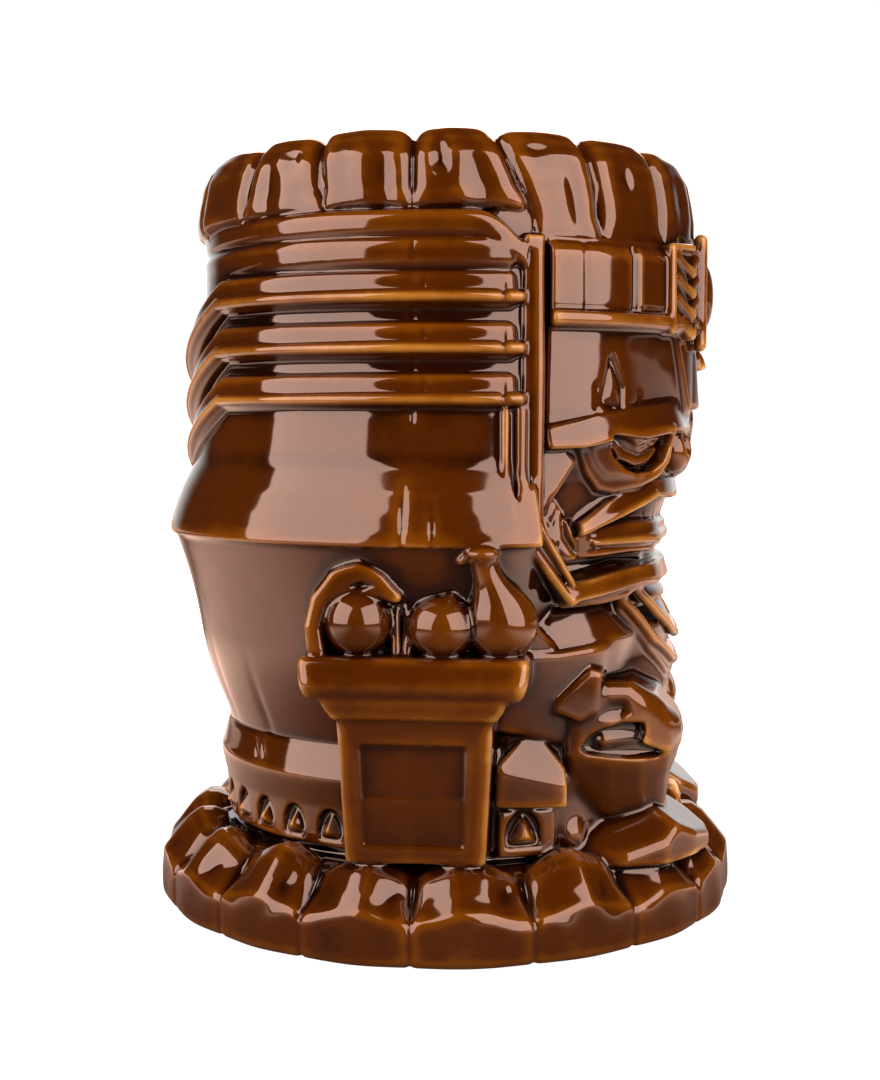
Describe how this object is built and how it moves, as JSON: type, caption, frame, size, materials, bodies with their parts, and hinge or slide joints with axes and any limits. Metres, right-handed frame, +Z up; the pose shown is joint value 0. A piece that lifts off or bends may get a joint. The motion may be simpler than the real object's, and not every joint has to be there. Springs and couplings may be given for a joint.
{
  "type": "tiki mug",
  "caption": "Round ceramic drinking mug carved as a hooded seated figure, with lobed base and crown and an offering altar on each side.",
  "frame": {"origin": "centre of the footprint, on the surface the mug stands on", "axes": "+Z up out of the cup's mouth, +X the way the carved figure faces, +Y the figure's left side"},
  "size_m": [0.118, 0.118, 0.15],
  "materials": {
    "glaze": "high-gloss amber brown glaze, thin and pale on edges, dark where it pools",
    "glaze_inside": "high-gloss brown glaze",
    "bare_clay": "matt unglazed fired clay"
  },
  "bodies": {
    "root": {"cup_wall": "glaze", "cup_floor": "glaze_inside", "foot_ring": "bare_clay", "base_plinth": "glaze", "base_lobes": "glaze", "crown_lobes": "glaze", "hood_shell": "glaze", "cornice_upper": "glaze", "cornice_lower": "glaze", "cape_band_1": "glaze", "cape_band_2": "glaze", "cape_band_3": "glaze", "robe": "glaze", "belt_upper": "glaze", "belt_lower": "glaze", "belt_studs": "glaze", "face_plate": "glaze", "headband": "glaze", "headband_ledge": "glaze", "crest_plate": "glaze", "brow_pendant": "glaze", "brow_ridge": "glaze", "nose": "glaze", "upper_lip": "glaze", "lower_lip": "glaze", "chin_strap": "glaze", "chest": "glaze", "collar": "glaze", "hood_edge_right": "glaze", "hood_edge_left": "glaze", "headband_plaque_right": "glaze", "headband_plaque_left": "glaze", "eye_right": "glaze", "eye_left": "glaze", "cheek_right": "glaze", "cheek_left": "glaze", "arm_right": "glaze", "arm_left": "glaze", "hand_right": "glaze", "hand_left": "glaze", "leg_right": "glaze", "leg_left": "glaze", "foot_right": "glaze", "foot_left": "glaze", "stone_block_right": "glaze", "stone_block_left": "glaze", "altar_column_right": "glaze", "altar_column_left": "glaze", "altar_slab_right": "glaze", "altar_slab_left": "glaze", "round_fruit_right": "glaze", "round_fruit_left": "glaze", "fruit_leaf_right": "glaze", "fruit_leaf_left": "glaze", "bead_string_right": "glaze", "bead_string_left": "glaze", "small_fruit_right": "glaze", "small_fruit_left": "glaze", "gourd_right": "glaze", "gourd_left": "glaze"}
  },
  "joints": []
}
